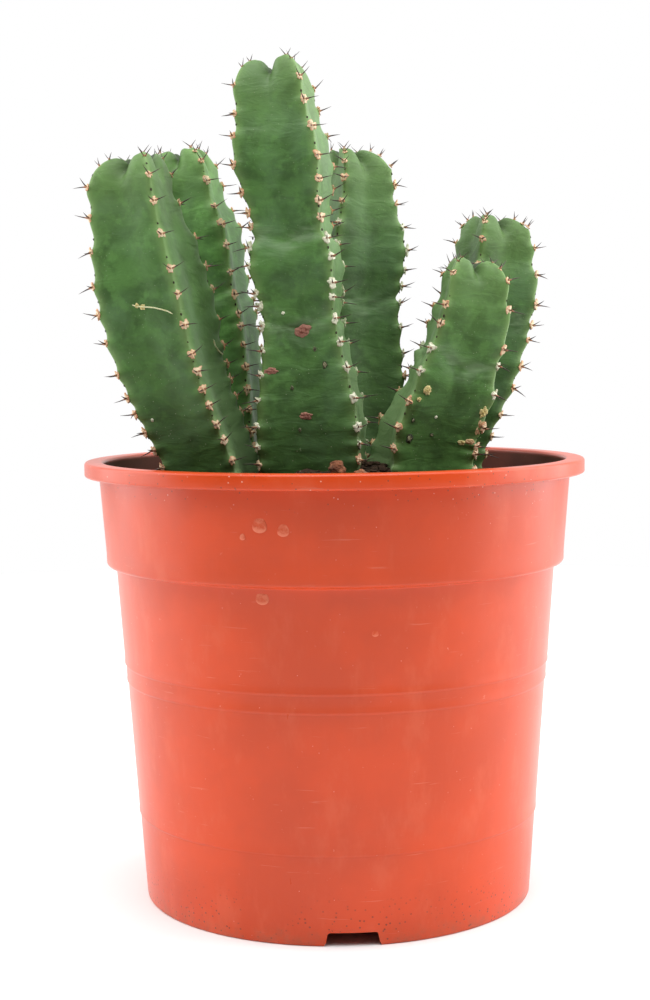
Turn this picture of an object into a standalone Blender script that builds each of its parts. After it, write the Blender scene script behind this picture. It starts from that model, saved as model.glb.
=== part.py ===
"""A four-ribbed candelabra spurge of six stems, growing in a round nursery pot.

Metres, +Z up. The origin is the middle of the pot's foot, on the surface that the pot stands on.
+X is the viewer's right when the plant is seen from its front, and the front faces -Y.
"""
import math

import bmesh
import bpy
from mathutils import Matrix, Vector, noise

MM = 0.001
GAP = 0.3 * MM                  # air left between two pieces that touch

# The pot, outside.
POT_HEIGHT = 167.2 * MM
FOOT_RADIUS = 74.3 * MM
FOOT_ROUND = 0.8 * MM
BODY_TAPER = 0.0695             # radius gained per unit of height on the body
RING_HEIGHTS = (33 * MM, 83.7 * MM, 90.4 * MM)
RING_STEP = 0.25 * MM           # each raised ring line steps the wall out by this
RING_RISE = 0.5 * MM
COLLAR_FOOT = 129 * MM          # where the body ends and steps out to the collar
COLLAR_RISE = 3.5 * MM
COLLAR_RADIUS = 87.5 * MM
COLLAR_TOP_RADIUS = 89.8 * MM
LIP_RADIUS = 95.3 * MM
LIP_HEIGHT = 5.5 * MM
LIP_ROUND = 1.1 * MM

# The pot, inside.
WALL = 1.8 * MM
FLOOR_UNDERSIDE = 5.6 * MM
FLOOR_CORNER = 2 * MM
POT_SIDES = 64

# Drainage.
NOTCH_COUNT = 3
NOTCH_BEARING = math.radians(-86.5)
NOTCH_FOOT_WIDTH = 20 * MM
NOTCH_TOP_WIDTH = 18 * MM
NOTCH_HEIGHT = 5 * MM
HOLE_COUNT = 6
HOLE_RADIUS = 5 * MM
HOLE_CIRCLE = 48 * MM
HOLE_SIDES = 12

# The soil.
SOIL_EDGE_HEIGHT = 146 * MM
SOIL_MOUND = 20 * MM            # how much higher the soil stands at the middle of the pot
SOIL_SIDES = 48
SOIL_RINGS = (1, 0.8, 0.55, 0.28, 0)

# The stems. A section has four ribs; between them its faces are slightly hollow.
RIBS = 4
VALLEY = 0.64                   # depth of a face's middle, as a share of the rib radius
SHOULDER_DROP = 2.4 * MM        # the rib's rounded edge: how far its shoulders lie below the crest
SHOULDER_WIDTH = 2.5 * MM       # and how far to each side of it
FULL_SHOULDER_RADIUS = 14 * MM  # a thinner stem has a smaller shoulder
STEM_ROWS = 15
TIP_ROWS = 4
LOBE_RADIUS = 0.42              # the ribs crest in lobes this far from the axis,
CLEFT_RADIUS = 0.13             # with clefts between them that end this far from it,
APEX_DROP = 0.26                # and the growing point lies this far below the lobes

# Each stem: the bearing of its right-hand rib in degrees, at its foot and at its tip, its axis as
# (x, y, z) and its swellings and waists as (z, rib radius), both from the foot up to where the tip
# begins to round, the tip's height and how far it leans to the right. All lengths in millimetres.
# Where its ribs differ, ribs gives each one's share of the rib radius, as (z, shares from the
# right-hand rib round).
STEMS = {
    "stem_centre": dict(
        bearing=(43, 34),
        axis=((-8, -12, 112), (-7.8, -12, 163), (-8.4, -11.5, 186), (-11.3, -10, 220),
              (-14.6, -8, 250), (-18.5, -6, 283), (-20.5, -5, 300)),
        girth=((112, 16), (176, 26.2), (222, 18.9), (240, 21.6), (255.5, 18.2), (280, 22.2), (300, 18.2)),
        tip=16.5, lean=0.8),
    "stem_left_front": dict(
        bearing=(25, 25),
        axis=((-39, -15, 112), (-45.2, -15, 165), (-49.6, -15, 175), (-58.6, -15, 198),
              (-66.2, -15, 228), (-71.4, -15, 255), (-73, -15, 266)),
        girth=((112, 14), (165, 18.4), (228, 22.8), (266, 18.2)),
        tip=14.5, lean=2.5,
        ribs=((250, (1, 1, 1, 1)), (266, (0.84, 1, 1, 1)))),
    "stem_left_back": dict(
        bearing=(34, 34),
        axis=((-38, 28, 112), (-43, 28, 165), (-47.3, 29, 213), (-50.9, 30, 236),
              (-56, 30, 262), (-57.5, 30, 272)),
        girth=((112, 14), (180, 20.5), (218, 21), (232, 20), (252, 21.7), (272, 16.5)),
        tip=16, lean=0),
    "stem_right_centre": dict(
        bearing=(-20, -20),
        axis=((7.5, 33, 112), (8, 34, 165), (8, 35, 200), (8.2, 35, 228), (9.3, 35, 254), (10.4, 35, 273)),
        girth=((112, 15), (190, 21.8), (228, 19.5), (248, 21.8), (273, 15.4)),
        tip=15, lean=-4),
    "stem_right_front": dict(
        bearing=(53, 53),
        axis=((31, -13, 112), (34.2, -14, 163), (35.4, -14.5, 176), (41.8, -15, 193), (46.4, -15, 207),
              (50.3, -15, 218), (52, -15, 228)),
        girth=((112, 13), (165, 21.3), (193, 20.8), (208, 18), (218, 17.8), (228, 15.6)),
        tip=13, lean=-2,
        ribs=((112, (1, 1.3, 1, 1)), (163, (1, 1.26, 1, 1)), (179, (1, 1.02, 1, 1)), (186, (1, 0.88, 1, 1)),
              (193, (1, 0.8, 1, 1)), (198, (1, 0.83, 1, 1)), (201, (1, 0.94, 1, 1)), (203.6, (1, 1, 1, 1)),
              (204.8, (1, 0.84, 1, 1)), (219, (1, 0.93, 1, 1)))),
    "stem_right_back": dict(
        bearing=(-24, -24),
        axis=((42, 27, 112), (46, 28, 168), (51, 30, 186), (57.4, 32, 205), (62.8, 34, 228),
              (65.3, 35, 247)),
        girth=((112, 12), (168, 15.5), (205, 19), (232, 19.6), (247, 16.2)),
        tip=14, lean=-2.5),
}

# Bark chips on the soil: (x, y), then length, breadth and height in millimetres, then the turn
# about +Z in degrees.
CHIPS = (
    (1, -37, 7, 6, 5.5, 10), (9.5, -42, 7, 6, 3.5, 100), (-22, -50, 11, 8, 5, 65),
    (58, -8, 10, 7, 5, 140), (-56, -40, 12, 8, 6, 35), (26, 66, 11, 8, 5, 80),
)
CHIP_ROUGHNESS = 0.22
CHIP_GRAIN = 3 * MM
CHIP_BED = 0.35                 # how far below its middle a chip is cut flat, as a share of its height


def clear_scene():
    for thing in list(bpy.data.objects):
        bpy.data.objects.remove(thing)


def make_material(name, colour, roughness, metallic=0.0):
    material = bpy.data.materials.new(name)
    material.use_nodes = True
    shader = material.node_tree.nodes["Principled BSDF"]
    shader.inputs["Base Color"].default_value = (*colour, 1.0)
    shader.inputs["Roughness"].default_value = roughness
    shader.inputs["Metallic"].default_value = metallic
    return material


def add_object(name, mesh_data, material=None):
    """Turn a finished bmesh into a smooth-shaded object with facing-out normals."""
    bmesh.ops.recalc_face_normals(mesh_data, faces=mesh_data.faces)
    mesh = bpy.data.meshes.new(name)
    mesh_data.to_mesh(mesh)
    mesh_data.free()
    mesh.shade_smooth()
    mesh.set_sharp_from_angle(angle=math.radians(35))
    thing = bpy.data.objects.new(name, mesh)
    bpy.context.collection.objects.link(thing)
    if material:
        mesh.materials.append(material)
    return thing


def cut(thing, cutter):
    """Take cutter out of thing, and keep cutter as a hidden guide."""
    cutter.hide_render = True
    cutter.display_type = "WIRE"
    boolean = thing.modifiers.new("cut_" + cutter.name, "BOOLEAN")
    boolean.operation = "DIFFERENCE"
    boolean.solver = "EXACT"
    boolean.object = cutter


def turn(name, outline, sides, material=None):
    """Spin an outline of (radius, height) points about +Z."""
    shape = bmesh.new()
    points = [shape.verts.new((radius, 0, height)) for radius, height in outline]
    edges = [shape.edges.new(pair) for pair in zip(points, points[1:])]
    bmesh.ops.spin(shape, geom=points + edges, cent=(0, 0, 0), axis=(0, 0, 1),
                   angle=2 * math.pi, steps=sides, use_merge=True)
    bmesh.ops.remove_doubles(shape, verts=shape.verts, dist=0.001 * MM)
    return add_object(name, shape, material)


# ---------------------------------------------------------------- the pot

def body_radius(height):
    """The body's outside radius: a plain taper that steps out a little at each ring line."""
    steps = sum(height > ring for ring in RING_HEIGHTS)
    return FOOT_RADIUS + BODY_TAPER * height + RING_STEP * steps


def bore_radius(height):
    """The body's inside radius, which has no ring lines."""
    return FOOT_RADIUS + BODY_TAPER * height - WALL


def inner_outline():
    """The inside of the pot, from the middle of its floor up to below its lip."""
    floor_top = FLOOR_UNDERSIDE + WALL
    return [
        (0, floor_top),
        (bore_radius(floor_top) - FLOOR_CORNER, floor_top),
        (bore_radius(floor_top + FLOOR_CORNER), floor_top + FLOOR_CORNER),
        (bore_radius(COLLAR_FOOT), COLLAR_FOOT),
        (COLLAR_RADIUS - WALL, COLLAR_FOOT + COLLAR_RISE),
        (COLLAR_TOP_RADIUS - WALL, POT_HEIGHT - LIP_ROUND),
    ]


def outer_outline():
    """The outside of the pot, from its foot up to the underside of its lip."""
    outline = [(FOOT_RADIUS - FOOT_ROUND, 0), (body_radius(FOOT_ROUND), FOOT_ROUND)]
    for ring in RING_HEIGHTS:
        outline += [(body_radius(ring), ring), (body_radius(ring + RING_RISE), ring + RING_RISE)]
    outline += [
        (body_radius(COLLAR_FOOT - COLLAR_RISE), COLLAR_FOOT - COLLAR_RISE),
        (COLLAR_RADIUS - FOOT_ROUND, COLLAR_FOOT - FOOT_ROUND),
        (COLLAR_RADIUS, COLLAR_FOOT + COLLAR_RISE / 2),
        (COLLAR_TOP_RADIUS, POT_HEIGHT - WALL),
    ]
    return outline


def lip_outline():
    """The lip: a flange that turns out and down, with a groove behind it."""
    skirt_foot = POT_HEIGHT - LIP_HEIGHT
    return [
        (LIP_RADIUS - WALL, POT_HEIGHT - WALL),
        (LIP_RADIUS - WALL, skirt_foot),
        (LIP_RADIUS - FOOT_ROUND, skirt_foot),
        (LIP_RADIUS, skirt_foot + FOOT_ROUND),
        (LIP_RADIUS, POT_HEIGHT - LIP_ROUND),
        (LIP_RADIUS - LIP_ROUND, POT_HEIGHT),
        (COLLAR_TOP_RADIUS - WALL + FOOT_ROUND, POT_HEIGHT),
    ]


def notch_cutter(index):
    """A wedge that takes one drainage notch out of the pot's foot."""
    bearing = NOTCH_BEARING + index * 2 * math.pi / NOTCH_COUNT
    depth = 20 * MM
    below = 3 * MM
    shape = bmesh.new()
    corners = [(-NOTCH_FOOT_WIDTH / 2, -below), (NOTCH_FOOT_WIDTH / 2, -below),
               (NOTCH_TOP_WIDTH / 2, NOTCH_HEIGHT), (-NOTCH_TOP_WIDTH / 2, NOTCH_HEIGHT)]
    face = shape.faces.new([shape.verts.new((0, across, up)) for across, up in corners])
    pulled = bmesh.ops.extrude_face_region(shape, geom=[face])
    far_end = [item for item in pulled["geom"] if isinstance(item, bmesh.types.BMVert)]
    bmesh.ops.translate(shape, verts=far_end, vec=(depth, 0, 0))
    cutter = add_object(f"notch_cutter_{index + 1}", shape)
    cutter.rotation_euler.z = bearing
    start = FOOT_RADIUS - depth / 2
    cutter.location = (start * math.cos(bearing), start * math.sin(bearing), 0)
    return cutter


def hole_cutter(index):
    """A drill for one drainage hole in the pot's floor."""
    bearing = NOTCH_BEARING + (index + 0.5) * 2 * math.pi / HOLE_COUNT
    shape = bmesh.new()
    bmesh.ops.create_cone(shape, cap_ends=True, segments=HOLE_SIDES, radius1=HOLE_RADIUS,
                          radius2=HOLE_RADIUS, depth=4 * WALL)
    cutter = add_object(f"hole_cutter_{index + 1}", shape)
    cutter.location = (HOLE_CIRCLE * math.cos(bearing), HOLE_CIRCLE * math.sin(bearing),
                       FLOOR_UNDERSIDE + WALL / 2)
    return cutter


def build_pot():
    plastic = make_material("terracotta_plastic", (0.55, 0.10, 0.045), 0.42)
    underside = [(body_radius(0) - WALL, 0), (body_radius(0) - WALL, FLOOR_UNDERSIDE), (0, FLOOR_UNDERSIDE)]
    outline = underside[::-1] + outer_outline() + lip_outline() + inner_outline()[::-1]
    pot = turn("pot", outline, POT_SIDES, plastic)
    for index in range(NOTCH_COUNT):
        cut(pot, notch_cutter(index))
    for index in range(HOLE_COUNT):
        cut(pot, hole_cutter(index))


# ---------------------------------------------------------------- the stems

def along(points, height):
    """Read a smooth curve through points, each of which ends with its height."""
    last = len(points) - 1
    slopes = []
    for i in range(last + 1):
        low, high = points[max(i - 1, 0)], points[min(i + 1, last)]
        slopes.append([(b - a) / (high[-1] - low[-1]) for a, b in zip(low, high)])
    i = max(k for k in range(last) if points[k][-1] <= height or k == 0)
    span = points[i + 1][-1] - points[i][-1]
    t = (height - points[i][-1]) / span
    weights = (2 * t**3 - 3 * t**2 + 1, 3 * t**2 - 2 * t**3)
    pulls = (t**3 - 2 * t**2 + t, t**3 - t**2)
    return [weights[0] * a + weights[1] * b + span * (pulls[0] * slope_a + pulls[1] * slope_b)
            for a, b, slope_a, slope_b in zip(points[i], points[i + 1], slopes[i], slopes[i + 1])]


def rib_radius(girth, height):
    """Ease from each swelling or waist to the next."""
    for (low, radius_low), (high, radius_high) in zip(girth, girth[1:]):
        if height <= high:
            share = max(height - low, 0) / (high - low)
            return radius_low + (radius_high - radius_low) * (1 - math.cos(math.pi * share)) / 2
    return girth[-1][1]


def rib_shares(stem, height):
    """Each rib's share of the rib radius at a height."""
    table = stem.get("ribs", ())
    if not table or height >= table[-1][0]:
        return table[-1][1] if table else (1,) * RIBS
    for (low, shares_low), (high, shares_high) in zip(table, table[1:]):
        if height <= high:
            share = max(height - low, 0) / (high - low)
            return [a + (b - a) * share for a, b in zip(shares_low, shares_high)]


def section(radius, shares, outset):
    """Offsets of a section from its axis: crest, shoulder, face middle and shoulder of each rib."""
    slim = min(1, radius / FULL_SHOULDER_RADIUS)
    drop, width = SHOULDER_DROP * slim, SHOULDER_WIDTH * slim
    valley = VALLEY * radius * math.sqrt(0.5) + outset
    offsets = []
    for rib in range(RIBS):
        reach = radius * shares[rib] + outset
        next_reach = radius * shares[(rib + 1) % RIBS] + outset
        quarter = [(reach, 0), (reach - drop, width + outset), (valley, valley),
                   (width + outset, next_reach - drop)]
        offsets += [Matrix.Rotation(rib * 2 * math.pi / RIBS, 2) @ Vector(point) for point in quarter]
    return offsets


def place(centre, tangent, bearing, offsets, lifts):
    """Put a section's offsets around a point of the axis, square to it."""
    across = Vector((math.cos(bearing), math.sin(bearing), 0))
    across = (across - across.project(tangent)).normalized()
    beside = tangent.cross(across)
    return [centre + across * offset.x + beside * offset.y + tangent * lift
            for offset, lift in zip(offsets, lifts)]


def stem_rows(stem, outset):
    """All the rows of points of a stem, from its foot to the lobes of its tip."""
    foot, crown = stem["axis"][0][-1], stem["axis"][-1][-1]
    rows = []
    for row in range(STEM_ROWS):
        share = row / (STEM_ROWS - 1)
        height = foot + (crown - foot) * share
        bearing = math.radians(stem["bearing"][0] * (1 - share) + stem["bearing"][1] * share)
        centre = Vector(along(stem["axis"], height)) * MM
        ahead = Vector(along(stem["axis"], min(height + 1, crown))) * MM
        behind = Vector(along(stem["axis"], max(height - 1, foot))) * MM
        tangent = (ahead - behind).normalized()
        radius = rib_radius(stem["girth"], height) * MM
        offsets = section(radius, rib_shares(stem, height), outset)
        rows.append(place(centre, tangent, bearing, offsets, [0] * len(offsets)))
    rise, lean = stem["tip"] * MM, Vector((stem["lean"] * MM, 0, 0))
    apex_rise = rise - APEX_DROP * radius
    for row in range(1, TIP_ROWS + 1):
        turned = math.pi / 2 * row / TIP_ROWS
        shrink = math.cos(turned)
        tip_offsets, lifts = [], []
        for index, offset in enumerate(offsets):
            on_face = index % 4 == 2
            inner = (CLEFT_RADIUS if on_face else LOBE_RADIUS) * radius
            length = inner + (offset.length - inner) * shrink
            tip_offsets.append(offset.normalized() * length)
            lifts.append((apex_rise if on_face else rise) * math.sin(turned))
        rows.append(place(centre + lean * (1 - shrink), tangent, bearing, tip_offsets, lifts))
    apex = centre + lean + tangent * apex_rise
    return rows, apex


def loft(name, rows, end, material=None):
    """Extrude a ring of points row by row, and close it with a flat foot and an apex."""
    shape = bmesh.new()
    ring = [shape.verts.new(point) for point in rows[0]]
    shape.faces.new(ring[::-1])
    edges = [shape.edges.get(pair) for pair in zip(ring, ring[1:] + ring[:1])]
    for row in rows[1:]:
        bmesh.ops.extrude_edge_only(shape, edges=edges)
        shape.verts.ensure_lookup_table()
        ring = list(shape.verts)[-len(row):]
        for vert, point in zip(ring, row):
            vert.co = point
        edges = [shape.edges.get(pair) for pair in zip(ring, ring[1:] + ring[:1])]
    top = shape.verts.new(end)
    for pair in zip(ring, ring[1:] + ring[:1]):
        shape.faces.new((*pair, top))
    return add_object(name, shape, material)


def build_stems(soil):
    """Make the stems, and bed each of them in the soil with a little air around it."""
    for name, stem in STEMS.items():
        green = make_material(name + "_green", (0.06, 0.17, 0.05), 0.45)
        rows, apex = stem_rows(stem, 0)
        loft(name, rows, apex, green)
        rows, apex = stem_rows(stem, GAP)
        rows[0] = [point - Vector((0, 0, GAP)) for point in rows[0]]
        cut(soil, loft(name + "_bed", rows, apex))


# ---------------------------------------------------------------- the soil

def soil_height(radius):
    """The soil's surface, highest in the middle of the pot."""
    edge = COLLAR_RADIUS - WALL
    return SOIL_EDGE_HEIGHT + SOIL_MOUND * (1 - (radius / edge)**2)


def build_soil():
    """Soil that fills the pot to below its rim, clear of the pot by a little air all round."""
    earth = make_material("potting_soil", (0.055, 0.032, 0.02), 0.95)
    wall = inner_outline()
    packed = [(radius - (GAP if radius else 0), height + GAP) for radius, height in wall[:-1]]
    slope = (wall[-1][0] - wall[-2][0]) / (wall[-1][1] - wall[-2][1])
    edge = packed[-1][0] + slope * (SOIL_EDGE_HEIGHT - packed[-1][1])
    surface = [(edge * share, soil_height(edge * share)) for share in SOIL_RINGS]
    return turn("potting_soil", packed + surface, SOIL_SIDES, earth)


def build_chips():
    """Broken pieces of bark that lie flat on the soil."""
    bark = make_material("bark", (0.22, 0.08, 0.04), 0.9)
    for index, (x, y, length, breadth, height, bearing) in enumerate(CHIPS):
        shape = bmesh.new()
        bmesh.ops.create_icosphere(shape, subdivisions=2, radius=length * MM / 2)
        for vert in shape.verts:
            grain = noise.noise(vert.co / CHIP_GRAIN + Vector((index, 0, 0)))
            vert.co *= 1 + CHIP_ROUGHNESS * grain
            vert.co.y *= breadth / length
            vert.co.z *= height / (length * (0.5 + CHIP_BED))
        everything = list(shape.verts) + list(shape.edges) + list(shape.faces)
        bed = -CHIP_BED / (0.5 + CHIP_BED) * height * MM
        sliced = bmesh.ops.bisect_plane(shape, geom=everything, plane_co=(0, 0, bed),
                                        plane_no=(0, 0, -1), clear_outer=True)
        rim = [item for item in sliced["geom_cut"] if isinstance(item, bmesh.types.BMEdge)]
        bmesh.ops.edgeloop_fill(shape, edges=rim)
        chip = add_object(f"bark_chip_{index + 1}", shape, bark)
        near_edge = max(math.hypot(x, y) - length / 2, 0) * MM
        chip.location = (x * MM, y * MM, soil_height(near_edge) - bed + GAP)
        chip.rotation_euler.z = math.radians(bearing)


def main():
    clear_scene()
    build_pot()
    soil = build_soil()
    build_stems(soil)
    build_chips()


main()
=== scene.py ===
"""Potted spurge: the finished surfaces of a six-stemmed succulent in a nursery pot.

Run as a script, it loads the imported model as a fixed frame, registers the add-on's operators, and
makes every piece in turn. Lengths are metres. +Z is up and the plant's front faces -Y.
"""
import math
import random

import bmesh
import bpy
import numpy as np
from bpy.props import FloatProperty, FloatVectorProperty, IntProperty, PointerProperty
from mathutils import Matrix, Vector, noise


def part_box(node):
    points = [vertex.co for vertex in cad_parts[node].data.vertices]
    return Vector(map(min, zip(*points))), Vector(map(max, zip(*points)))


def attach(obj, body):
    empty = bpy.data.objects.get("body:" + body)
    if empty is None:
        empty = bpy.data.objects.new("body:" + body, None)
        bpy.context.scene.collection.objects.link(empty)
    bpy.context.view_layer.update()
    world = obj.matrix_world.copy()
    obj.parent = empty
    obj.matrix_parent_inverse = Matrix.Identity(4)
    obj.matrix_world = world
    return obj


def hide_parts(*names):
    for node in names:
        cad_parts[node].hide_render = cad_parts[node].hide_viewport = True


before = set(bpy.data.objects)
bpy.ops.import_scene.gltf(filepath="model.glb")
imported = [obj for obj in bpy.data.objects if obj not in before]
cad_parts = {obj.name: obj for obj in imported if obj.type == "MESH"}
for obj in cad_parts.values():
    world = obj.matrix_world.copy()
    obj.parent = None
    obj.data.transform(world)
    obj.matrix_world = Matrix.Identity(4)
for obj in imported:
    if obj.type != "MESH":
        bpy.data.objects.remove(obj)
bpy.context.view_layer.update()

bl_info = {
    "name": "Potted Spurge",
    "version": (1, 0, 0),
    "blender": (4, 5, 0),
    "location": "3D View > Sidebar > Potted Spurge",
    "description": "Makes a six-stemmed candelabra spurge in a plastic nursery pot",
    "category": "Add Mesh",
}

MM = 0.001
BODY = "root"
WELD = 0.001 * MM               # points closer than this are joined

# ---- sizes that the pieces share

# The pot, as it was designed.
LIP_RADIUS = 95.3 * MM
POT_HEIGHT = 167.2 * MM
LIP_HEIGHT = 5.5 * MM
FOOT_RADIUS = 74.3 * MM
BODY_TAPER = 0.0695
RING_HEIGHTS = (33 * MM, 83.7 * MM, 90.4 * MM)
RING_STEP = 0.25 * MM
COLLAR_FOOT = 129 * MM
COLLAR_RISE = 3.5 * MM
COLLAR_RADIUS = 87.5 * MM
COLLAR_TOP_RADIUS = 89.8 * MM
COLLAR_SIDE = 132 * MM          # above its step, the collar runs straight from here
WALL = 1.8 * MM
COLLAR_BORE = COLLAR_RADIUS - WALL
FLOOR_UNDERSIDE = 5.6 * MM
NOTCH_COUNT = 3
NOTCH_BEARING = math.radians(-86.5)
NOTCH_FOOT_WIDTH = 20 * MM
NOTCH_TOP_WIDTH = 18 * MM
NOTCH_HEIGHT = 5 * MM
HOLE_COUNT = 6
HOLE_RADIUS = 5 * MM
HOLE_CIRCLE = 48 * MM

# The soil.
SOIL_EDGE_HEIGHT = 146 * MM
SOIL_MOUND = 20 * MM
SOIL_TOP = SOIL_EDGE_HEIGHT + SOIL_MOUND
SOIL_FOOT = 132 * MM            # the skirt ends here, inside the pot
CRUMB_REACH = 84 * MM

# The stems.
RIBS = 4
LOBE_RADIUS = 0.42
APEX_DROP = 0.26
STEM_CUT = 138 * MM             # the skin starts here, below the soil's surface

# Each stem: the bearing of its right-hand rib at the foot and at the tip, its axis as (x, y, z), its
# swellings and waists as (z, rib radius), the tip's height and lean, and where its ribs differ, the
# share of the radius that each one reaches at a height. Then how light its green is, which is partly
# its own green and partly painted light and shade for how much light reaches the stem, how much it
# darkens towards the soil, how much paler each face is from the right-hand rib round, which is partly
# wax bloom and partly painted light where side light falls, and the heights of its growth joints, of
# the stretch with old, pale spine pads, and of the pads. Degrees and millimetres.
STEMS = {
    "stem_centre": dict(
        bearing=(43, 34),
        axis=((-8, -12, 112), (-7.8, -12, 163), (-8.4, -11.5, 186), (-11.3, -10, 220),
              (-14.6, -8, 250), (-18.5, -6, 283), (-20.5, -5, 300)),
        girth=((112, 16), (176, 26.2), (222, 18.9), (240, 21.6), (255.5, 18.2), (280, 22.2), (300, 18.2)),
        tip=16.5, lean=0.8,
        tone=0.95, shade=0.5, bloom=(0, 0, 0, 1), joints=(251, 219), pale=(168, 254),
        pads=(307, 297.5, 288, 277.5, 268.5, 260.5, 254.5, 247, 240, 230.5, 225, 218, 209.5, 200,
              190, 180, 173, 166.5, 160)),
    "stem_left_front": dict(
        bearing=(25, 25),
        axis=((-39, -15, 112), (-45.2, -15, 165), (-49.6, -15, 175), (-58.6, -15, 198),
              (-66.2, -15, 228), (-71.4, -15, 255), (-73, -15, 266)),
        girth=((112, 14), (165, 18.4), (228, 22.8), (266, 18.2)),
        tip=14.5, lean=2.5,
        ribs=((250, (1, 1, 1, 1)), (266, (0.84, 1, 1, 1))),
        tone=0.9, shade=0.3, bloom=(0, 0, 0, 0.6), joints=(), pale=(0, 0),
        pads=(271.5, 261, 248.5, 237, 226.5, 215.3, 205, 198, 191.3, 184.6, 178.4, 171.8, 165.5, 160)),
    "stem_left_back": dict(
        bearing=(34, 34),
        axis=((-38, 28, 112), (-43, 28, 165), (-47.3, 29, 213), (-50.9, 30, 236),
              (-56, 30, 262), (-57.5, 30, 272)),
        girth=((112, 14), (180, 20.5), (218, 21), (232, 20), (252, 21.7), (272, 16.5)),
        tip=16, lean=0, tone=1.4, shade=0.1, bloom=(0, 0, 0, 0), joints=(230,), pale=(0, 0),
        pads=(281, 272.5, 262.5, 254.5, 246.4, 236, 227.5, 221, 215, 208, 200, 192, 184, 176, 168, 161)),
    "stem_right_centre": dict(
        bearing=(-20, -20),
        axis=((7.5, 33, 112), (8, 34, 165), (8, 35, 200), (8.2, 35, 228), (9.3, 35, 254), (10.4, 35, 273)),
        girth=((112, 15), (190, 21.8), (228, 19.5), (248, 21.8), (273, 15.4)),
        tip=15, lean=-4, tone=0.75, shade=0.0, bloom=(0, 0, 0, 0.25), joints=(229,), pale=(200, 260),
        pads=(282, 275, 267, 258.5, 249.5, 241, 233.5, 227, 217, 207.5, 198, 189, 180, 171, 163)),
    "stem_right_front": dict(
        bearing=(53, 53),
        axis=((31, -13, 112), (34.2, -14, 163), (35.4, -14.5, 176), (41.8, -15, 193), (46.4, -15, 207),
              (50.3, -15, 218), (52, -15, 228)),
        girth=((112, 13), (165, 21.3), (193, 20.8), (208, 18), (218, 17.8), (228, 15.6)),
        tip=13, lean=-2,
        ribs=((112, (1, 1.3, 1, 1)), (163, (1, 1.26, 1, 1)), (179, (1, 1.02, 1, 1)), (186, (1, 0.88, 1, 1)),
              (193, (1, 0.8, 1, 1)), (198, (1, 0.83, 1, 1)), (201, (1, 0.94, 1, 1)), (203.6, (1, 1, 1, 1)),
              (204.8, (1, 0.84, 1, 1)), (219, (1, 0.93, 1, 1))),
        tone=1.0, shade=0.15, bloom=(0, 1, 0, 0), joints=(205,), pale=(196, 212),
        pads=(234, 223.5, 213.5, 206, 196.5, 186, 178, 171, 165, 159.5)),
    "stem_right_back": dict(
        bearing=(-24, -24),
        axis=((42, 27, 112), (46, 28, 168), (51, 30, 186), (57.4, 32, 205), (62.8, 34, 228),
              (65.3, 35, 247)),
        girth=((112, 12), (168, 15.5), (205, 19), (232, 19.6), (247, 16.2)),
        tip=14, lean=-2.5, tone=0.65, shade=0.1, bloom=(0, 0, 0.1, 0), joints=(221,), pale=(0, 0),
        pads=(257, 249, 239, 228.5, 221.5, 215, 205.5, 197, 186.5, 176.5, 169.8, 162)),
}

# Dried drops on the pot's wall: the bearing, the height and how wide each one is, in degrees and
# millimetres.
DROPS = ((-106.9, 149.8, 5.0), (-101.6, 148.1, 4.0), (-107.7, 124.4, 4.6), (-111, 145.5, 2.0),
         (-81, 112, 2.2))

# Healed marks on each stem: the height, the bearing from the right-hand rib, both in degrees and
# millimetres, then how long and how wide the mark is, and its finish.
MARKS = {
    "stem_centre": (
        (214.9, -129.8, 4.6, 6.0, "brown"),
        (201.3, -172, 2.7, 5.0, "brown"),
        (183.9, -136.7, 2.7, 4.8, "brown"),
        (207.8, -115.6, 1.7, 1.5, "dark"),
        (201.7, -107.3, 2.9, 1.9, "ringed"),
        (194.5, -152, 1.6, 1.4, "dark"),
        (222.2, -157.5, 1.3, 1.2, "pale"),
        (179, -144.7, 1.3, 1.2, "dark"),
    ),
    "stem_right_front": (
        (191, -169, 3.6, 2.9, "yellow"),
        (187, -173, 1.8, 1.4, "yellow"),
        (175, -168.6, 3.9, 2.3, "ringed"),
        (180.3, -170.5, 1.6, 1.2, "ringed"),
        (183.6, -147.4, 1.2, 1.1, "pale"),
        (177.4, -143.3, 1.4, 1.5, "ringed"),
        (190.6, -95, 4.2, 2.8, "yellow"),
        (185.7, -93.5, 6.0, 2.6, "cork"),
        (178.9, -96, 2.6, 3.4, "cork"),
        (177.5, -103, 1.8, 2.6, "yellow"),
    ),
    "stem_left_front": (
        (226.4, -138.9, 1.9, 2.0, "yellow"),
        (225.6, -130.4, 2.1, 2.2, "yellow"),
        (188, -168, 1.2, 1.1, "pale"),
    ),
}

# Dried threads that lie on the skin: the stem, then the heights and bearings that each runs through.
THREADS = (
    ("stem_left_front", ((227.2, -145), (226.3, -139), (225.6, -130), (225.1, -123), (224.3, -114),
                         (223, -106), (222, -101), (220.5, -97))),
    ("stem_left_front", ((208.5, -18), (206, -17), (204, -13), (202.4, -8), (201.8, -4))),
)


# ---- settings a user would change

class PotSettings(bpy.types.PropertyGroup):
    colour: FloatVectorProperty(
        name="Plastic", description="Colour of the moulded plastic", subtype="COLOR",
        default=(0.61, 0.057, 0.006), min=0, max=1)
    roughness: FloatProperty(
        name="Roughness", description="How dull the plastic is", default=0.29, min=0.1, max=1,
        subtype="FACTOR")
    sides: IntProperty(
        name="Sides", description="Steps around the turned wall", default=240, min=48)


class PlantSettings(bpy.types.PropertyGroup):
    green: FloatVectorProperty(
        name="Skin", description="Colour of the grown skin", subtype="COLOR",
        default=(0.064, 0.15, 0.036), min=0, max=1)
    young_green: FloatVectorProperty(
        name="Young skin", description="Colour of the tips and rib edges", subtype="COLOR",
        default=(0.16, 0.27, 0.085), min=0, max=1)
    spine_length: FloatProperty(
        name="Spine length", description="Length of a full-grown spine", default=5.6 * MM, unit="LENGTH")
    pad_length: FloatProperty(
        name="Pad length", description="Length of the pad that a pair of spines grows from",
        default=3.7 * MM, unit="LENGTH")


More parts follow.
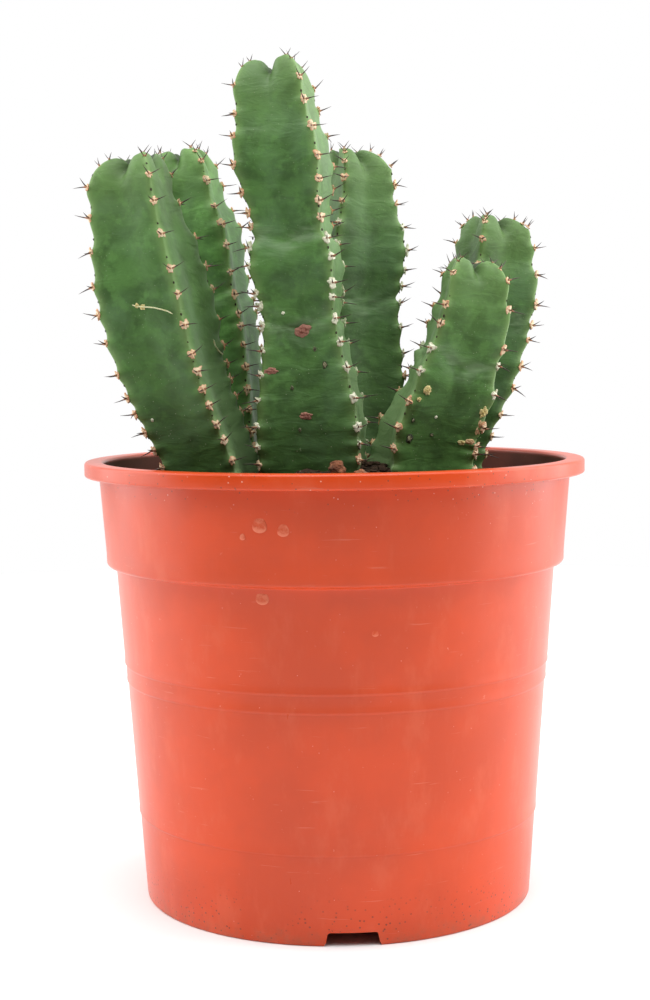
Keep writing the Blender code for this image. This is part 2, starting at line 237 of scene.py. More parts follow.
class SoilSettings(bpy.types.PropertyGroup):
    colour: FloatVectorProperty(
        name="Soil", description="Colour of the moist soil", subtype="COLOR",
        default=(0.045, 0.026, 0.016), min=0, max=1)
    crumbs: IntProperty(
        name="Crumbs", description="Loose crumbs on the soil's surface", default=1500, min=0)


class StageSettings(bpy.types.PropertyGroup):
    floor: FloatVectorProperty(
        name="Floor", description="Colour of the floor and backdrop", subtype="COLOR",
        default=(0.9, 0.9, 0.9), min=0, max=1)
    lens: FloatProperty(
        name="Lens", description="Focal length on a 36 mm tall frame, in millimetres", default=62.8, min=10)


# ---- shader writing

class Signal:
    """A node's output socket, with the arithmetic that the materials are written in."""

    def __init__(self, paint, socket):
        self.paint = paint
        self.socket = socket

    def _join(self, operation, left, right):
        """Math for numbers and Vector Math for colours and vectors."""
        kind = "ShaderNodeVectorMath" if self.socket.type in ("VECTOR", "RGBA") else "ShaderNodeMath"
        return self.paint.node(kind, {"operation": operation}, {0: left, 1: right})

    def __add__(self, other):
        return self._join("ADD", self, other)

    def __radd__(self, other):
        return self._join("ADD", other, self)

    def __sub__(self, other):
        return self._join("SUBTRACT", self, other)

    def __rsub__(self, other):
        return self._join("SUBTRACT", other, self)

    def __mul__(self, other):
        return self._join("MULTIPLY", self, other)

    __rmul__ = __mul__

    def ease(self, low, high, first=0.0, last=1.0):
        """A smooth step from first to last as the value goes from low to high."""
        return self.paint.node("ShaderNodeMapRange", {"interpolation_type": "SMOOTHSTEP"},
                               {"Value": self, "From Min": low, "From Max": high, "To Min": first,
                                "To Max": last})


class Paint:
    """One material and the nodes that finish it."""

    def __init__(self, name, roughness=0.5, specular=0.5, home=(0, 0, 0)):
        self.material = bpy.data.materials.new(name)
        self.material.use_nodes = True
        self.tree = self.material.node_tree
        self.home = home
        self.base = None
        self.shader = self.tree.nodes["Principled BSDF"]
        self.shader.inputs["Roughness"].default_value = roughness
        self.shader.inputs["Specular IOR Level"].default_value = specular

    def node(self, kind, settings=None, inputs=None, output=None):
        """Add a node: its settings first, then the values or links of its sockets."""
        made = self.tree.nodes.new(kind)
        for name, value in (settings or {}).items():
            setattr(made, name, value)
        for name, value in (inputs or {}).items():
            socket = made.inputs[name]
            if isinstance(value, Signal):
                self.tree.links.new(value.socket, socket)
            elif socket.type == "RGBA" and len(value) == 3:
                socket.default_value = (*value, 1.0)
            else:
                socket.default_value = value
        if output is not None:
            return Signal(self, made.outputs[output])
        return Signal(self, next(socket for socket in made.outputs if socket.enabled))

    def place(self, scale=(1, 1, 1), offset=(0, 0, 0)):
        """The piece's own coordinates in metres, stretched, and moved from the paint's home."""
        own = self.node("ShaderNodeTexCoord", output="Object")
        place = tuple(start + move for start, move in zip(self.home, offset))
        return self.node("ShaderNodeMapping", {}, {"Vector": own, "Location": place, "Scale": scale})

    def grain(self, size, detail=3, roughness=0.55, stretch=(1, 1, 1), offset=(0, 0, 0), distortion=0):
        """Noise whose features are about size across."""
        where = self.place(stretch, offset)
        return self.node("ShaderNodeTexNoise", {},
                         {"Vector": where, "Scale": 1 / size, "Detail": detail, "Roughness": roughness,
                          "Distortion": distortion}, "Fac")

    def specks(self, spacing, radius, offset=(0, 0, 0)):
        """Scattered round dots: 1 inside a dot and 0 outside."""
        where = self.place((1, 1, 1), offset)
        distance = self.node("ShaderNodeTexVoronoi", {"feature": "F1"},
                             {"Vector": where, "Scale": 1 / spacing, "Randomness": 1.0}, "Distance")
        return distance.ease(radius / spacing, radius / spacing * 0.6)

    def attribute(self, name):
        """A value that the mesh holds for each of its points."""
        return self.node("ShaderNodeAttribute", {"attribute_name": name}, {}, "Fac")

    def mix(self, factor, low, high):
        """Colour low where factor is 0 and high where it is 1."""
        return self.node("ShaderNodeMix", {"data_type": "RGBA"}, {0: factor, 6: low, 7: high}, 2)

    def coat(self, mask, colour):
        """Lay a colour over the base wherever the mask is."""
        self.base = self.mix(mask, self.base, colour)
        self.set("Base Color", self.base)

    def set(self, socket, value):
        """Feed one of the shader's own sockets."""
        self.tree.links.new(value.socket, self.shader.inputs[socket])

    def bump(self, height, distance, strength=1.0):
        """Raise the surface by height times distance, in metres."""
        self.set("Normal", self.node("ShaderNodeBump", {}, {"Height": height, "Distance": distance,
                                                            "Strength": strength}))


def plastic_finish(settings):
    """Moulded terracotta plastic: satin and lightly scuffed, with dust and soil specks, and the inside wall
    above the soil darkened by soil stain and painted shade.
    """
    paint = Paint("terracotta_plastic", roughness=settings.roughness, specular=0.42)
    colour = Vector(settings.colour)
    up = paint.node("ShaderNodeSeparateXYZ", {}, {"Vector": paint.place()}, "Z")
    cloud = paint.grain(40 * MM, detail=4)
    streak = paint.grain(8 * MM, detail=5, roughness=0.7, stretch=(1, 1, 0.16))
    scratch = paint.grain(1.2 * MM, detail=3, roughness=0.6, stretch=(0.06, 0.06, 1.0))
    paint.base = paint.mix(cloud.ease(0.35, 0.7), colour * 0.94, colour * 1.1)
    paint.coat(streak.ease(0.55, 0.75, 0, 0.25), (0.66, 0.085, 0.03))
    paint.coat(scratch.ease(0.67, 0.75, 0, 0.3), (0.72, 0.26, 0.17))
    smear = paint.grain(14 * MM, detail=4, roughness=0.65, stretch=(1, 1, 0.45), offset=(0.05, 0.4, 0.2))
    paint.coat(smear.ease(0.5, 0.72, 0, 0.3), (0.7, 0.13, 0.055))
    nick = paint.grain(2.6 * MM, detail=4, roughness=0.7, offset=(0.3, 0.1, 0))
    paint.coat(nick.ease(0.68, 0.72, 0, 0.35), (0.75, 0.3, 0.2))
    pale_dust = paint.specks(4.2 * MM, 0.2 * MM)
    paint.coat(pale_dust * nick.ease(0.4, 0.6, 0.1, 0.7), (0.85, 0.5, 0.4))
    under_lip = up.ease(0.152, 0.16)
    grime = paint.specks(2.6 * MM, 0.36 * MM, offset=(0.11, 0.05, 0.02))
    paint.coat(grime * under_lip * 0.8, (0.2, 0.05, 0.03))
    chalk_spot = paint.specks(3.2 * MM, 0.3 * MM, offset=(0.01, 0.15, 0.12))
    paint.coat(chalk_spot * under_lip * 0.5, (0.85, 0.72, 0.6))
    dirt_zone = up.ease(0.022, 0.004) * cloud.ease(0.35, 0.5)
    dirt = paint.specks(1.9 * MM, 0.42 * MM, offset=(0.07, 0.02, 0.05)) * dirt_zone
    paint.coat(dirt * 0.8, (0.06, 0.02, 0.012))
    foot_dust = paint.grain(6 * MM, detail=4, roughness=0.7) * up.ease(0.016, 0.0)
    paint.coat(foot_dust.ease(0.3, 0.7, 0, 0.45), (0.3, 0.1, 0.05))
    # Soil stain and painted shade: the inside wall between the soil and the rim is darkened in the colour
    # and made duller.
    inside = paint.node("ShaderNodeVectorMath", {"operation": "LENGTH"},
                        {0: paint.place(scale=(1, 1, 0))}, "Value").ease(88.5 * MM, 88.1 * MM)
    soil_stain_and_shade = inside * up.ease(0.1455, 0.147) * up.ease(0.1667, 0.1652) * cloud.ease(0.2, 0.6, 0.8, 0.97)
    paint.coat(soil_stain_and_shade, (0.1, 0.025, 0.012))
    paint.set("Roughness", (settings.roughness - 0.06) + cloud * 0.07 + streak * 0.06 + soil_stain_and_shade * 0.5)
    fine = paint.grain(0.35 * MM, detail=2)
    wavy = paint.grain(16 * MM, detail=1, stretch=(1, 1, 0.4))
    paint.bump(fine * 0.06 + scratch * 0.15 + nick * 0.12 + wavy * 0.9 + dirt * 0.4,
               0.25 * MM, 0.6)
    return paint.material


def skin_finish(settings, name, home, tone, shade):
    """Waxy green skin: paler along the ribs, at the tip and at each growth joint."""
    paint = Paint(name, roughness=0.45, specular=0.25, home=home)
    # Scaled per stem: partly its own green, partly painted light and shade for how much light reaches the
    # stem.
    green = Vector(settings.green) * tone
    young = Vector(settings.young_green)
    cloud = paint.grain(12 * MM, detail=5, roughness=0.6, distortion=0.6)
    blotch = paint.grain(5 * MM, detail=4, roughness=0.6, offset=[0.9] * 3)
    fine = paint.grain(1.6 * MM, detail=4)
    joint, age, crest = (paint.attribute(key) for key in ("joint", "age", "crest"))
    paint.base = paint.mix(cloud.ease(0.34, 0.68), green * 0.7, green * 1.4)
    bloom = paint.grain(20 * MM, detail=3, offset=[0.4] * 3)
    paint.coat(bloom.ease(0.42, 0.7, 0, 0.5), (0.12, 0.23, 0.1))
    paint.coat(blotch.ease(0.5, 0.7, 0, 0.45), green * 2.0)
    paint.coat(fine.ease(0.5, 0.8, 0, 0.25), green * 1.8)
    paint.coat(paint.attribute("youth") * (0.25 + cloud * 0.5), young)
    crinkle = paint.grain(4.5 * MM, detail=2, roughness=0.5, stretch=(0.5, 0.5, 1.5),
                          distortion=0.4)
    paint.coat(joint * crinkle.ease(0.35, 0.7, 0.05, 0.6), (0.2, 0.3, 0.16))
    paint.coat(crest * 0.7, young * 1.25)
    paint.coat(age * shade, green * 0.42)
    # Painted side light, partly wax bloom: the faces listed for each stem are made paler, more so towards
    # the soil.
    wax_and_side_light = paint.attribute("bloom") * (0.3 + age * 0.62)
    paint.coat(wax_and_side_light, (0.26, 0.39, 0.18))
    # Painted shade: the notch at the tip and the cleft that runs down each face from it are darkened in the
    # colour.
    paint.coat(paint.attribute("pit") * 0.85, (0.02, 0.03, 0.012))
    pores = paint.specks(2.4 * MM, 0.17 * MM)
    paint.coat(pores * 0.35, green * 2.6)
    chalk = paint.specks(1.5 * MM, 0.2 * MM, offset=[0.2] * 3)
    patch = paint.grain(7 * MM, detail=2, offset=[0.7] * 3)
    paint.coat(chalk * patch.ease(0.45, 0.58) * (0.3 + age * 0.6), (0.45, 0.5, 0.33))
    paint.set("Roughness", 0.4 + cloud * 0.12 + fine * 0.06)
    folds = paint.grain(7 * MM, detail=3, roughness=0.5, stretch=(0.7, 0.7, 1.8),
                        distortion=0.8)
    paint.bump(folds * 1.1 + crinkle * (0.12 + joint * 0.9) + fine * 0.12 + pores * 0.05, 0.55 * MM, 0.7)
    return paint.material


def pad_finish():
    """Corky spine pads: cream with a salmon edge where they are young, and chalky where they are old."""
    paint = Paint("pad_cork", roughness=0.8, specular=0.3)
    fine = paint.grain(0.8 * MM, detail=3, roughness=0.6)
    edge = paint.attribute("edge") * 0.7 + fine * 0.6
    young = paint.mix(edge.ease(0.68, 1.1), (0.88, 0.66, 0.42), (0.6, 0.24, 0.12))
    old = paint.mix(edge.ease(0.75, 1.1), (0.88, 0.9, 0.7), (0.45, 0.46, 0.28))
    paint.set("Base Color", paint.mix(paint.attribute("pale"), young, old))
    paint.bump(paint.grain(0.5 * MM, detail=3), 0.3 * MM, 0.8)
    return paint.material


def spine_finish():
    """Horny spines: pale at the root, dark brown above and a little red at the point."""
    paint = Paint("spine", roughness=0.45)
    along = paint.attribute("along")
    fine = paint.grain(0.6 * MM, detail=2)
    paint.base = paint.mix(along.ease(0.02, 0.3), (0.42, 0.2, 0.1), (0.035, 0.016, 0.014))
    paint.coat(along.ease(0.6, 1.0) * 0.6, (0.1, 0.045, 0.035))
    paint.coat(fine.ease(0.4, 0.7, 0, 0.3), (0.12, 0.07, 0.05))
    return paint.material


def mark_finish(name, inner, outer, size):
    """A dried crust mottled between two colours, for scars, buds, threads and drops."""
    paint = Paint("mark_" + name, roughness=0.75, specular=0.3)
    fine = paint.grain(size, detail=4, roughness=0.7)
    ringed = paint.attribute("edge")
    paint.base = paint.mix(fine.ease(0.35, 0.65), inner, outer)
    paint.coat(ringed.ease(0.45, 0.8), outer)
    paint.bump(fine, 0.4 * MM, 0.9)
    return paint.material


def soil_finish(settings, name="potting_soil", lighten=1.0):
    """Moist, crumbly soil with paler dry grains and a few pieces of grit."""
    paint = Paint(name, roughness=0.95, specular=0.2)
    earth = Vector(settings.colour) * lighten
    lumps = paint.grain(4 * MM, detail=5, roughness=0.7)
    grains = paint.grain(0.9 * MM, detail=4, roughness=0.7)
    paint.base = paint.mix(lumps.ease(0.35, 0.65), earth * 0.55, earth * 1.5)
    paint.coat(grains.ease(0.58, 0.7, 0, 0.7), (0.17, 0.085, 0.045))
    grit = paint.specks(5 * MM, 0.45 * MM)
    paint.coat(grit * 0.6, (0.35, 0.28, 0.22))
    paint.bump(lumps * 0.5 + grains, 0.8 * MM, 0.9)
    return paint.material


def bark_finish():
    """Red-brown bark chips with a fibrous grain."""
    paint = Paint("bark", roughness=0.9, specular=0.25)
    fibre = paint.grain(2.2 * MM, detail=5, roughness=0.7, stretch=(0.35, 1.6, 1.6))
    dust = paint.grain(5 * MM, detail=3)
    paint.base = paint.mix(fibre.ease(0.3, 0.7), (0.09, 0.028, 0.014), (0.36, 0.14, 0.07))
    paint.coat(dust.ease(0.5, 0.8, 0, 0.5), (0.3, 0.2, 0.14))
    paint.bump(fibre, 0.7 * MM, 0.9)
    return paint.material


# ---- mesh helpers

def add_piece(name, vertices, faces, material, replaces=(), attributes=None):
    """Make a smooth mesh object, put it on the body and hide the designed parts that it replaces."""
    mesh = bpy.data.meshes.new(name)
    mesh.from_pydata([tuple(point) for point in vertices], [], [tuple(face) for face in faces])
    mesh.validate()
    return finish_piece(name, mesh, material, replaces, attributes)


def finish_piece(name, mesh, material, replaces=(), attributes=None):
    """Give a mesh its values and its material, and put it on the body."""
    if not mesh.polygons:
        raise RuntimeError(f"{name} has no faces")
    mesh.shade_smooth()
    for key, values in (attributes or {}).items():
        layer = mesh.attributes.new(key, "FLOAT", "POINT")
        layer.data.foreach_set("value", np.asarray(values, dtype=np.float32))
    mesh.materials.append(material)
    piece = set_out(name, mesh)
    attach(piece, BODY)
    if replaces:
        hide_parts(*replaces)
    return piece


def set_out(name, data):
    """Put a new object into the scene."""
    made = bpy.data.objects.new(name, data)
    bpy.context.collection.objects.link(made)
    return made


def as_mesh(name, shape):
    """Turn worked geometry into a mesh."""
    mesh = bpy.data.meshes.new(name)
    shape.to_mesh(mesh)
    shape.free()
    return mesh


def polar(radius, bearing):
    """A point at a distance and a bearing from the middle."""
    return radius * math.cos(bearing), radius * math.sin(bearing)


def around(count):
    """Evenly spaced angles, once round."""
    return [2 * math.pi * step / count for step in range(count)]


def hoop(middle, side, up, girth, corners):
    """The points of a small circle around a middle."""
    return [middle + side * girth * math.cos(turned) + up * girth * math.sin(turned)
            for turned in around(corners)]


def fan(first, columns, tip, turned=False):
    """Triangles from a ring of points to one tip, or facing the other way if turned."""
    pairs = [(first + column, first + (column + 1) % columns) for column in range(columns)]
    return [(right, left, tip) if turned else (left, right, tip) for left, right in pairs]


def grid_faces(rows, columns, first=0):
    """Quads between closed rings of points, ring after ring."""
    faces = []
    for row in range(rows - 1):
        start = first + row * columns
        for column in range(columns):
            beside = (column + 1) % columns
            faces.append((start + column, start + beside, start + columns + beside,
                          start + columns + column))
    return faces


class Heap:
    """Many small bodies gathered into one mesh, with values for each point."""

    def __init__(self, *keys):
        self.vertices, self.faces = [], []
        self.values = {key: [] for key in keys}

    def add(self, points, faces, **values):
        """Add one body, with the values of its points."""
        first = len(self.vertices)
        self.vertices += [tuple(point) for point in points]
        self.faces += [tuple(first + index for index in face) for face in faces]
        for key, shares in values.items():
            self.values[key] += shares

    def piece(self, name, material, slot="spine"):
        """Make the whole heap one piece."""
        return add_piece(name, self.vertices, self.faces, material, attributes=self.values)


def ball(subdivisions):
    """The points and faces of a unit ball."""
    shape = bmesh.new()
    bmesh.ops.create_icosphere(shape, subdivisions=subdivisions, radius=1)
    shape.verts.ensure_lookup_table()
    points = [vert.co.copy() for vert in shape.verts]
    faces = [[vert.index for vert in face.verts] for face in shape.faces]
    shape.free()
    return points, faces


def roughen(point, size, seed):
    """Signed noise at a point, the same every time."""
    return noise.noise(Vector(point) / size + Vector((seed * 7.31, seed * 3.17, seed * 1.73)))


# ---- the pot

def body_radius(height):
    """The outside radius of the tapered body, which steps out at each ring line."""
    steps = sum(height > ring for ring in RING_HEIGHTS)
    return FOOT_RADIUS + BODY_TAPER * height + RING_STEP * steps


def on_body(height):
    """A point of the body's outline."""
    return body_radius(height), height


def arc(centre, radius, start, end, steps):
    """Points on an arc in the (radius, height) plane, from one angle to another in degrees."""
    points = []
    for step in range(steps + 1):
        turned = math.radians(start + (end - start) * step / steps)
        points.append((centre[0] + radius * math.cos(turned), centre[1] + radius * math.sin(turned)))
    return points


def pot_outline():
    """The pot's wall as one closed outline, from the middle of its underside round to its floor."""
    foot_round, lip_round, lip_edge, groove = 0.8 * MM, 1.1 * MM, 0.8 * MM, 0.8 * MM
    inner_foot = body_radius(0) - WALL
    outline = [(0, FLOOR_UNDERSIDE), (inner_foot - 1 * MM, FLOOR_UNDERSIDE),
               (inner_foot, FLOOR_UNDERSIDE - 1 * MM), (inner_foot, 0.3 * MM), (inner_foot + 0.3 * MM, 0)]
    outline += arc((FOOT_RADIUS - foot_round, foot_round), foot_round, -90, 0, 5)
    for ring in RING_HEIGHTS:
        below, above = body_radius(ring - 1 * MM), body_radius(ring + 1 * MM)
        outline += [on_body(ring - 4 * MM), (below - 0.05 * MM, ring - 0.7 * MM),
                    (below, ring - 0.35 * MM), (above + 0.1 * MM, ring + 0.05 * MM),
                    (above + 0.14 * MM, ring + 0.55 * MM), (above + 0.05 * MM, ring + 1.3 * MM),
                    on_body(ring + 4 * MM)]
    under_step = COLLAR_FOOT - COLLAR_RISE
    outline += [on_body(under_step - 10 * MM), on_body(under_step)]
    hollow, shoulder = 1.2 * MM, 1.5 * MM
    outline += arc((body_radius(under_step) + hollow + 0.25 * MM, under_step + 1.2 * MM), hollow, 180, 90, 5)
    outline += arc((COLLAR_RADIUS - shoulder, under_step + 2.4 * MM + shoulder), shoulder, -90, 0, 6)
    neck = POT_HEIGHT - LIP_HEIGHT
    outline += [(COLLAR_RADIUS + (COLLAR_TOP_RADIUS - COLLAR_RADIUS) * share,
                 COLLAR_SIDE + (neck - COLLAR_SIDE) * share) for share in (0.02, 0.25, 0.5, 0.75, 0.95)]
    groove_top, groove_wall = POT_HEIGHT - WALL, LIP_RADIUS - WALL
    outline += arc((COLLAR_TOP_RADIUS + groove, groove_top - groove), groove, 180, 90, 3)
    outline += arc((groove_wall - groove, groove_top - groove), groove, 90, 0, 3)
    outline += [(groove_wall, neck + 0.2 * MM), (groove_wall + 0.2 * MM, neck)]
    outline += arc((LIP_RADIUS - lip_edge, neck + lip_edge), lip_edge, -90, 0, 5)
    outline += arc((LIP_RADIUS - lip_round, POT_HEIGHT - lip_round), lip_round, 0, 90, 8)
    inner_lip, inner_round = COLLAR_TOP_RADIUS - WALL, 1.2 * MM
    outline += arc((inner_lip + inner_round, POT_HEIGHT - inner_round), inner_round, 90, 180, 6)
    outline += [(inner_lip - 0.3 * MM, 150 * MM), (COLLAR_BORE, 131 * MM)]
    bore, floor_top, floor_round = FOOT_RADIUS - WALL, FLOOR_UNDERSIDE + WALL, 2 * MM
    outline += [(bore + BODY_TAPER * height, height) for height in (COLLAR_FOOT, 60 * MM)]
    outline += arc((bore + BODY_TAPER * floor_top - floor_round, floor_top + floor_round), floor_round,
                   0, -90, 4)
    return outline + [(0, floor_top)]


def build_pot(settings):
    """Turn the wall, then cut its drainage notches and holes."""
    shape = bmesh.new()
    points = [shape.verts.new((radius, 0, height)) for radius, height in pot_outline()]
    edges = [shape.edges.new(pair) for pair in zip(points, points[1:])]
    bmesh.ops.spin(shape, geom=points + edges, cent=(0, 0, 0), axis=(0, 0, 1), angle=2 * math.pi,
                   steps=settings.sides, use_merge=True)
    bmesh.ops.remove_doubles(shape, verts=shape.verts, dist=WELD)
    bmesh.ops.recalc_face_normals(shape, faces=shape.faces)
    pot = set_out("pot_wall", as_mesh("pot_wall", shape))
    cutters = [notch_cutter(index) for index in range(NOTCH_COUNT)]
    cutters += [hole_cutter(index) for index in range(HOLE_COUNT)]
    for cutter in cutters:
        boolean = pot.modifiers.new(cutter.name, "BOOLEAN")
        boolean.operation = "DIFFERENCE"
        boolean.solver = "EXACT"
        boolean.object = cutter
    finished = bpy.data.meshes.new_from_object(pot.evaluated_get(bpy.context.evaluated_depsgraph_get()))
    for thing in cutters + [pot]:
        bpy.data.objects.remove(thing)
    finish_piece("pot_shell", finished, plastic_finish(settings), ["pot"])
    finished.set_sharp_from_angle(angle=math.radians(50))


def wall_radius(height):
    """The outside radius of the body, or of the collar above it."""
    if height < COLLAR_FOOT:
        return body_radius(height)
    share = (height - COLLAR_FOOT) / (POT_HEIGHT - LIP_HEIGHT - COLLAR_FOOT)
    return COLLAR_RADIUS + (COLLAR_TOP_RADIUS - COLLAR_RADIUS) * share


def build_drops(material):
    """Low, round-bottomed drops that dried on the wall, each with a pale crescent at its lower edge."""
    points, faces = ball(4)
    crescent = [0.4 * math.hypot(unit.x, unit.z) - 0.6 * unit.z for unit in points]
    heap = Heap("edge")
    for bearing, height, width in DROPS:
        out = Vector((*polar(1, math.radians(bearing)), 0))
        side, up = Vector((-out.y, out.x, 0)), Vector((0, 0, 1))
        middle = out * wall_radius(height * MM) + up * height * MM
        half = width * MM / 2
        heap.add([middle + side * unit.x * half * (1 - 0.3 * unit.z) + up * unit.z * half * 1.15
                  + out * unit.y * half * 0.09 * (1 - 0.6 * unit.z) for unit in points], faces,
                 edge=crescent)
    heap.piece("dried_drops", material, "terracotta_plastic")


def cutter_object(name, shape, radius, bearing, height=0):
    """Stand a cutter at a distance and a bearing from the pot's middle."""
    bmesh.ops.recalc_face_normals(shape, faces=shape.faces)
    cutter = set_out(name, as_mesh(name, shape))
    cutter.location = (*polar(radius, bearing), height)
    return cutter


def notch_cutter(index):
    """A round-cornered wedge for one drainage notch."""
    bearing = NOTCH_BEARING + index * 2 * math.pi / NOTCH_COUNT
    corner, depth = 1.1 * MM, 20 * MM
    half_foot, half_top = NOTCH_FOOT_WIDTH / 2, NOTCH_TOP_WIDTH / 2
    side = [(half_foot, -3 * MM), (half_foot, 0.6 * MM), (half_foot - 0.5 * MM, 1.4 * MM)]
    side += arc((half_top - corner, NOTCH_HEIGHT - corner), corner, 10, 90, 4)
    profile = side + [(-across, up) for across, up in reversed(side)]
    shape = bmesh.new()
    face = shape.faces.new([shape.verts.new((0, across, up)) for across, up in profile])
    pulled = bmesh.ops.extrude_face_region(shape, geom=[face])
    far_end = [item for item in pulled["geom"] if isinstance(item, bmesh.types.BMVert)]
    bmesh.ops.translate(shape, verts=far_end, vec=(depth, 0, 0))
    cutter = cutter_object(f"notch_{index + 1}", shape, FOOT_RADIUS - depth / 2, bearing)
    cutter.rotation_euler.z = bearing
    return cutter


def hole_cutter(index):
    """A drill for one drainage hole."""
    bearing = NOTCH_BEARING + (index + 0.5) * 2 * math.pi / HOLE_COUNT
    shape = bmesh.new()
    bmesh.ops.create_cone(shape, cap_ends=True, segments=32, radius1=HOLE_RADIUS, radius2=HOLE_RADIUS,
                          depth=4 * WALL)
    return cutter_object(f"hole_{index + 1}", shape, HOLE_CIRCLE, bearing, FLOOR_UNDERSIDE + WALL / 2)


# ---- the stems

class Stem:
    """The shape of one stem: where its axis runs, how thick it is, and where its spine pads sit."""

    SHARPNESS = 20                  # how tightly a rib's edge is rounded
    HOLLOW = 0.11                   # how far a face sinks in its middle, as a share of the radius
    TOOTH = 1.3 * MM                # how far a rib's tooth stands out at a spine pad
    TOOTH_LEAN = 0.63               # below 1, a tooth is steeper above its pad than below it
    DIP = 0.6 * MM                  # how far a rib draws in between its teeth

    def __init__(self, name):
        data = STEMS[name]
        self.name = name
        self.seed = list(STEMS).index(name) + 1
        self.bearing = [math.radians(angle) for angle in data["bearing"]]
        self.axis = np.array(data["axis"]) * MM
        self.girth = np.array(data["girth"]) * MM
        self.tip = data["tip"] * MM
        self.tone, self.shade = data["tone"], data["shade"]
        self.bloom = data["bloom"]
        self.lean = np.array((data["lean"] * MM, 0, 0))
        table = data.get("ribs", ((0, (1,) * RIBS),))
        self.rib_levels = [row[0] * MM for row in table]
        self.rib_shares = np.array([row[1] for row in table])
        self.joints = [height * MM for height in data["joints"]]
        self.pale = [height * MM for height in data["pale"]]
        self.foot, self.crown = self.axis[0, 2], self.axis[-1, 2]
        crown_radius = self.girth[-1, 1]
        self.lobe = LOBE_RADIUS * crown_radius
        self.apex_rise = self.tip - APEX_DROP * crown_radius
        chooser = random.Random(self.seed)
        self.rib_pads = [sorted(height * MM + chooser.uniform(-0.9, 0.9) * MM for height in data["pads"])
                         for _ in range(RIBS)]

    def centre(self, height):
        """The axis point at a height, on a smooth curve."""
        points = self.axis
        levels = points[:, 2]
        slopes = np.gradient(points, levels, axis=0)
        i = int(np.clip(np.searchsorted(levels, height) - 1, 0, len(levels) - 2))
        span = levels[i + 1] - levels[i]
        t = (height - levels[i]) / span
        return ((2 * t**3 - 3 * t**2 + 1) * points[i] + (3 * t**2 - 2 * t**3) * points[i + 1]
                + span * ((t**3 - 2 * t**2 + t) * slopes[i] + (t**3 - t**2) * slopes[i + 1]))

    def radius(self, height):
        """The rib radius at a height, eased from each swelling or waist to the next."""
        levels, radii = self.girth[:, 0], self.girth[:, 1]
        i = int(np.clip(np.searchsorted(levels, height) - 1, 0, len(levels) - 2))
        share = min(max((height - levels[i]) / (levels[i + 1] - levels[i]), 0), 1)
        return radii[i] + (radii[i + 1] - radii[i]) * (1 - math.cos(math.pi * share)) / 2

    def swell(self, point):
        """How far the skin stands out at a point because it has grown a little unevenly."""
        return (0.55 * roughen(point, 17 * MM, self.seed) + 0.16 * roughen(point, 5 * MM, self.seed)) * MM

    def rib_share(self, rib, height):
        """A rib's own reach at a height, as a share of the rib radius."""
        return float(np.interp(height, self.rib_levels, self.rib_shares[:, rib]))

    def basis(self, height):
        """The axis point, the axis direction, and the two directions across it."""
        height = min(height, self.crown)
        step = 1 * MM
        tangent = self.centre(min(height + step, self.crown)) - self.centre(max(height - step, self.foot))
        tangent /= np.linalg.norm(tangent)
        share = (height - self.foot) / (self.crown - self.foot)
        bearing = self.bearing[0] * (1 - share) + self.bearing[1] * share
        across = np.array((math.cos(bearing), math.sin(bearing), 0))
        across -= tangent * across.dot(tangent)
        across /= np.linalg.norm(across)
        return self.centre(height), tangent, across, np.cross(tangent, across)

    def section(self, angle):
        """How far the skin is from the axis at an angle from the nearest rib, as a share of the radius."""
        quarter = math.pi / 4
        near = np.clip(np.cos(angle - quarter), 0, 1)**self.SHARPNESS
        far = np.clip(np.cos(angle + quarter), 0, 1)**self.SHARPNESS
        square = (near + far)**(-1 / self.SHARPNESS)
        square /= (2 * math.cos(quarter)**self.SHARPNESS)**(-1 / self.SHARPNESS)
        return square * (1 - self.HOLLOW * np.sin(np.abs(angle) * 2)**2)

    def pad_share(self, rib, height):
        """1 level with a spine pad and 0 between two, where the rib is at its lowest."""
        pads = self.rib_pads[rib]
        for low, high in zip(pads, pads[1:]):
            if low <= height <= high:
                share = (height - low) / (high - low)
                return (1 + math.cos(2 * math.pi * share**self.TOOTH_LEAN)) / 2
        return 0.6

    def rib_bump(self, rib, height):
        """How far a rib stands out at a height because of its teeth."""
        return self.TOOTH * self.pad_share(rib, height)**1.3 - self.DIP

    def crest(self, rib, height):
        """A point on a rib's edge, with the directions out of it, up along it and across it."""
        centre, tangent, across, beside = self.basis(height)
        turned = rib * 2 * math.pi / RIBS
        outward = across * math.cos(turned) + beside * math.sin(turned)
        bump = self.rib_bump(rib, height)
        if height <= self.crown:
            reach = self.radius(height) * self.rib_share(rib, height) + bump
            return centre + outward * reach, outward, tangent, np.cross(tangent, outward)
        lift = min((height - self.crown) / self.tip, 1)
        around = math.asin(lift)
        widest = self.girth[-1, 1] * self.rib_share(rib, self.crown)
        reach = self.lobe + (widest - self.lobe) * math.cos(around)
        facing = outward * math.cos(around) + tangent * math.sin(around)
        along = tangent * math.cos(around) - outward * math.sin(around)
        point = (centre + self.lean * (1 - math.cos(around)) + outward * reach
                 + tangent * (height - self.crown) + facing * bump)
        return point, facing, along, np.cross(along, facing)


COLUMNS_PER_RIB = 26
ROW_STEP = 0.9 * MM
DOME_ROWS = 18
NOTCH_ROWS = 9
JOINT_SAG = 3.5 * MM


def column_angles():
    """Angles from the nearest rib, close together near its edge and further apart on the faces."""
    shares = np.linspace(-1, 1, COLUMNS_PER_RIB + 1)[:-1]
    return np.sign(shares) * np.abs(shares)**1.5 * math.pi / 4


